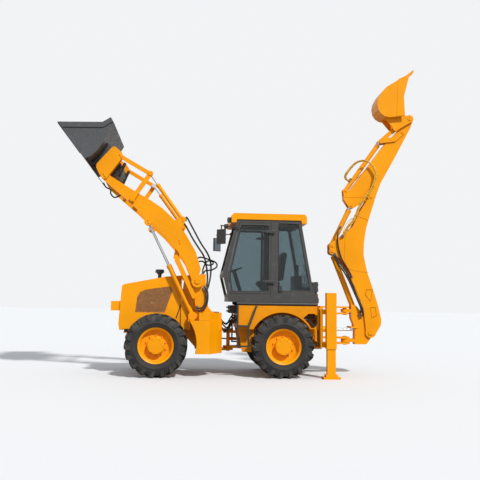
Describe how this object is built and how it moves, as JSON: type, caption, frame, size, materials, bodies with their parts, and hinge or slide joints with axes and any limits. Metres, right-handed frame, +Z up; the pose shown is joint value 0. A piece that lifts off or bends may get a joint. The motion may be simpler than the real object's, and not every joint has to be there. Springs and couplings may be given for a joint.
{
  "type": "backhoe loader",
  "caption": "Articulated compact backhoe loader: raised front loader bucket on levelling links, enclosed cab, side-shift backhoe and sliding stabilisers.",
  "frame": {"origin": "middle of the machine's length and width, on the ground under the tyres", "axes": "+X to the loader bucket, +Y to the machine's left, +Z up"},
  "size_m": [7.1803, 2.06, 6.2926],
  "materials": {
    "paint_yellow": "worn",
    "paint_orange": "worn",
    "paint_grey": "worn",
    "black_trim": "plain",
    "glass": "plain",
    "chrome": "plain",
    "rubber_tyre": "plain",
    "worn_steel": "worn",
    "engine_grey": "plain",
    "seat_cover": "plain",
    "rusty_grille": "plain"
  },
  "bodies": {
    "rear": {"rear_frame": "paint_yellow", "rear_axle": "paint_yellow", "steps": "paint_grey", "cab_frame": "paint_grey", "cab_roof": "paint_yellow", "cab_glass": "glass", "seat": "seat_cover", "controls": "black_trim", "cab_fittings": "black_trim", "shift_frame": "paint_yellow"},
    "door_left": {"door_left": "paint_grey", "door_glass_left": "glass"},
    "door_right": {"door_right": "paint_grey", "door_glass_right": "glass"},
    "front": {"front_frame": "paint_yellow", "engine": "engine_grey", "front_axle": "paint_yellow"},
    "hood": {"hood": "paint_yellow", "hood_grilles": "rusty_grille", "hood_fittings": "black_trim"},
    "steering_barrel": {"steering_barrel": "paint_yellow"},
    "steering_rod": {"steering_rod": "chrome"},
    "arms": {"loader_arms": "paint_yellow"},
    "lift_barrels": {"lift_barrels": "paint_yellow"},
    "lift_rods": {"lift_rods": "chrome"},
    "tilt_barrels": {"tilt_barrels": "paint_orange"},
    "tilt_rods": {"tilt_rods": "chrome"},
    "tilt_levers": {"tilt_levers": "paint_orange"},
    "tilt_links": {"tilt_links": "paint_orange"},
    "level_rockers": {"level_rockers": "paint_yellow"},
    "level_links": {"level_links": "paint_yellow"},
    "hitch": {"coupler": "paint_orange", "loader_bucket": "worn_steel"},
    "carriage": {"carriage": "paint_yellow"},
    "swing_rod_left": {"swing_rod_left": "chrome"},
    "swing_rod_right": {"swing_rod_right": "chrome"},
    "kingpost": {"kingpost": "paint_yellow"},
    "boom": {"boom": "paint_yellow"},
    "boom_barrel": {"boom_barrel": "paint_orange"},
    "boom_rod": {"boom_rod": "chrome"},
    "dipper": {"dipper": "paint_yellow"},
    "dipper_barrel": {"dipper_barrel": "paint_orange"},
    "dipper_rod": {"dipper_rod": "chrome"},
    "hoe_barrel": {"hoe_barrel": "paint_orange"},
    "hoe_rod": {"hoe_rod": "chrome"},
    "hoe_lever": {"hoe_lever": "paint_orange"},
    "hoe_link": {"hoe_link": "paint_orange"},
    "hoe_bucket": {"hoe_bucket": "paint_orange"},
    "stabiliser_left": {"stabiliser_left": "paint_orange"},
    "stabiliser_right": {"stabiliser_right": "paint_orange"},
    "wheel_front_left": {"tyre_front_left": "rubber_tyre", "rim_front_left": "paint_yellow"},
    "wheel_front_right": {"tyre_front_right": "rubber_tyre", "rim_front_right": "paint_yellow"},
    "wheel_rear_left": {"tyre_rear_left": "rubber_tyre", "rim_rear_left": "paint_yellow"},
    "wheel_rear_right": {"tyre_rear_right": "rubber_tyre", "rim_rear_right": "paint_yellow"}
  },
  "joints": [
    {"name": "articulation", "type": "hinge", "parent": "rear", "child": "front", "pos_m": [0.24016, 0, 0.6], "axis": [0, 0, 1], "range_deg": [-28, 28]},
    {"name": "steering_barrel_pivot", "type": "hinge", "parent": "rear", "child": "steering_barrel", "pos_m": [-0.09984, -0.18, 0.66], "axis": [0, 0, 1], "range_deg": [-14.47, 14.47]},
    {"name": "steering_rod_slide", "type": "slide", "parent": "steering_barrel", "child": "steering_rod", "axis": [0.9601, -0.2796, 0], "range_m": [-0.135, 0.135]},
    {"name": "hood_hinge", "type": "hinge", "parent": "front", "child": "hood", "pos_m": [1.20016, 0, 1.87], "axis": [0, -1, 0], "range_deg": [0, 45]},
    {"name": "arm_lift", "type": "hinge", "parent": "front", "child": "arms", "pos_m": [0.88016, 0, 1.78], "axis": [0, -1, 0], "range_deg": [-80, 2]},
    {"name": "lift_barrel_pivot", "type": "hinge", "parent": "front", "child": "lift_barrels", "pos_m": [0.96016, 0, 1.125], "axis": [0, -1, 0], "range_deg": [-67.88, 2.18]},
    {"name": "lift_rod_slide", "type": "slide", "parent": "lift_barrels", "child": "lift_rods", "axis": [0.4474, 0, 0.8943], "range_m": [-0.7731, 0.0203]},
    {"name": "level_rocker_pivot", "type": "hinge", "parent": "arms", "child": "level_rockers", "pos_m": [1.23834, 0, 2.52465], "axis": [0, -1, 0], "range_deg": [-2.56, 82.9]},
    {"name": "level_link_pivot", "type": "hinge", "parent": "front", "child": "level_links", "pos_m": [0.94216, 0, 1.493], "axis": [0, -1, 0], "range_deg": [-82.9, 2.56]},
    {"name": "bucket_tilt", "type": "hinge", "parent": "arms", "child": "hitch", "pos_m": [2.70425, 0, 3.77065], "axis": [0, 1, 0], "range_deg": [-24, 88]},
    {"name": "tilt_lever_pivot", "type": "hinge", "parent": "arms", "child": "tilt_levers", "pos_m": [2.16591, 0, 3.31044], "axis": [0, 1, 0], "range_deg": [-18.61, 66.89]},
    {"name": "tilt_link_pivot", "type": "hinge", "parent": "tilt_levers", "child": "tilt_links", "pos_m": [1.83348, 0, 3.82393], "axis": [0, 1, 0], "range_deg": [-59.19, 16.51]},
    {"name": "tilt_barrel_pivot", "type": "hinge", "parent": "arms", "child": "tilt_barrels", "pos_m": [1.19201, 0, 2.95367], "axis": [0, 1, 0], "range_deg": [-5.35, 18.27]},
    {"name": "tilt_rod_slide", "type": "slide", "parent": "tilt_barrels", "child": "tilt_rods", "axis": [0.5933, 0, 0.805], "range_m": [-0.1466, 0.5349]},
    {"name": "side_shift", "type": "slide", "parent": "rear", "child": "carriage", "axis": [0, 1, 0], "range_m": [-0.45, 0.45]},
    {"name": "backhoe_swing", "type": "hinge", "parent": "carriage", "child": "kingpost", "pos_m": [-2.11984, 0, 0.9], "axis": [0, 0, 1], "range_deg": [-85, 85]},
    {"name": "swing_rod_left_slide", "type": "slide", "parent": "carriage", "child": "swing_rod_left", "axis": [1, 0, 0], "range_m": [-0.152, 0.152]},
    {"name": "swing_rod_right_slide", "type": "slide", "parent": "carriage", "child": "swing_rod_right", "axis": [1, 0, 0], "range_m": [-0.152, 0.152]},
    {"name": "boom_lift", "type": "hinge", "parent": "kingpost", "child": "boom", "pos_m": [-2.62284, 0, 0.827], "axis": [0, -1, 0], "range_deg": [0, 125]},
    {"name": "boom_barrel_pivot", "type": "hinge", "parent": "kingpost", "child": "boom_barrel", "pos_m": [-2.41984, 0, 1], "axis": [0, -1, 0], "range_deg": [-0.5, 132.07]},
    {"name": "boom_rod_slide", "type": "slide", "parent": "boom_barrel", "child": "boom_rod", "axis": [0.3648, 0, 0.9311], "range_m": [-0.001, 0.4894]},
    {"name": "dipper_swing", "type": "hinge", "parent": "boom", "child": "dipper", "pos_m": [-2.66893, 0, 3.60662], "axis": [0, -1, 0], "range_deg": [0, 100]},
    {"name": "dipper_barrel_pivot", "type": "hinge", "parent": "boom", "child": "dipper_barrel", "pos_m": [-1.84947, 0, 2.56006], "axis": [0, -1, 0], "range_deg": [-6.26, 0.5]},
    {"name": "dipper_rod_slide", "type": "slide", "parent": "dipper_barrel", "child": "dipper_rod", "axis": [-0.4392, 0, 0.8984], "range_m": [-0.001, 0.718]},
    {"name": "hoe_bucket_curl", "type": "hinge", "parent": "dipper", "child": "hoe_bucket", "pos_m": [-3.49818, 0, 5.26259], "axis": [0, -1, 0], "range_deg": [0, 140]},
    {"name": "hoe_lever_pivot", "type": "hinge", "parent": "dipper", "child": "hoe_lever", "pos_m": [-3.34774, 0, 4.97334], "axis": [0, -1, 0], "range_deg": [-0.5, 101.86]},
    {"name": "hoe_link_pivot", "type": "hinge", "parent": "hoe_lever", "child": "hoe_link", "pos_m": [-2.89549, 0, 4.77371], "axis": [0, -1, 0], "range_deg": [-93.14, 0.5]},
    {"name": "hoe_barrel_pivot", "type": "hinge", "parent": "dipper", "child": "hoe_barrel", "pos_m": [-2.14396, 0, 3.70622], "axis": [0, -1, 0], "range_deg": [-7.61, 0.5]},
    {"name": "hoe_rod_slide", "type": "slide", "parent": "hoe_barrel", "child": "hoe_rod", "axis": [-0.5757, 0, 0.8177], "range_m": [-0.001, 0.7184]},
    {"name": "door_left_hinge", "type": "hinge", "parent": "rear", "child": "door_left", "pos_m": [-0.57584, 0.74, 2.225], "axis": [0, 0, 1], "range_deg": [0, 95]},
    {"name": "stabiliser_left_slide", "type": "slide", "parent": "rear", "child": "stabiliser_left", "axis": [0, 0, -1], "range_m": [-0.45, 0.1]},
    {"name": "door_right_hinge", "type": "hinge", "parent": "rear", "child": "door_right", "pos_m": [-0.57584, -0.74, 2.225], "axis": [0, 0, -1], "range_deg": [0, 95]},
    {"name": "stabiliser_right_slide", "type": "slide", "parent": "rear", "child": "stabiliser_right", "axis": [0, 0, -1], "range_m": [-0.02, 0.53]},
    {"name": "wheel_front_left_spin", "type": "hinge", "parent": "front", "child": "wheel_front_left", "pos_m": [1.62516, 0.785, 0.5825], "axis": [0, 1, 0], "continuous": true},
    {"name": "wheel_front_right_spin", "type": "hinge", "parent": "front", "child": "wheel_front_right", "pos_m": [1.62516, -0.785, 0.5825], "axis": [0, 1, 0], "continuous": true},
    {"name": "wheel_rear_left_spin", "type": "hinge", "parent": "rear", "child": "wheel_rear_left", "pos_m": [-0.74484, 0.785, 0.5825], "axis": [0, 1, 0], "continuous": true},
    {"name": "wheel_rear_right_spin", "type": "hinge", "parent": "rear", "child": "wheel_rear_right", "pos_m": [-0.74484, -0.785, 0.5825], "axis": [0, 1, 0], "continuous": true}
  ],
  "couplings": [
    {"joint": "steering_barrel_pivot", "follows": "articulation", "ratio": 0.48449},
    {"joint": "steering_rod_slide", "follows": "articulation", "m_per_rad": 0.26624},
    {"joint": "lift_barrel_pivot", "follows": "arm_lift", "ratio": 0.81767},
    {"joint": "lift_rod_slide", "follows": "arm_lift", "m_per_rad": 0.5369},
    {"joint": "level_rocker_pivot", "follows": "arm_lift", "ratio": -1},
    {"joint": "level_link_pivot", "follows": "arm_lift", "ratio": 1},
    {"joint": "tilt_lever_pivot", "follows": "bucket_tilt", "ratio": 0.73251},
    {"joint": "tilt_link_pivot", "follows": "bucket_tilt", "ratio": -0.64754},
    {"joint": "tilt_barrel_pivot", "follows": "bucket_tilt", "ratio": 0.19605},
    {"joint": "tilt_rod_slide", "follows": "bucket_tilt", "m_per_rad": 0.33747},
    {"joint": "swing_rod_left_slide", "follows": "backhoe_swing", "m_per_rad": -0.09879},
    {"joint": "swing_rod_right_slide", "follows": "backhoe_swing", "m_per_rad": 0.09879},
    {"joint": "boom_barrel_pivot", "follows": "boom_lift", "ratio": 1.0219},
    {"joint": "boom_rod_slide", "follows": "boom_lift", "m_per_rad": 0.21735},
    {"joint": "dipper_barrel_pivot", "follows": "dipper_swing", "ratio": -0.05589},
    {"joint": "dipper_rod_slide", "follows": "dipper_swing", "m_per_rad": 0.39884},
    {"joint": "hoe_lever_pivot", "follows": "hoe_bucket_curl", "ratio": 0.70289},
    {"joint": "hoe_link_pivot", "follows": "hoe_bucket_curl", "ratio": -0.64243},
    {"joint": "hoe_barrel_pivot", "follows": "hoe_bucket_curl", "ratio": -0.04931},
    {"joint": "hoe_rod_slide", "follows": "hoe_bucket_curl", "m_per_rad": 0.28504}
  ]
}
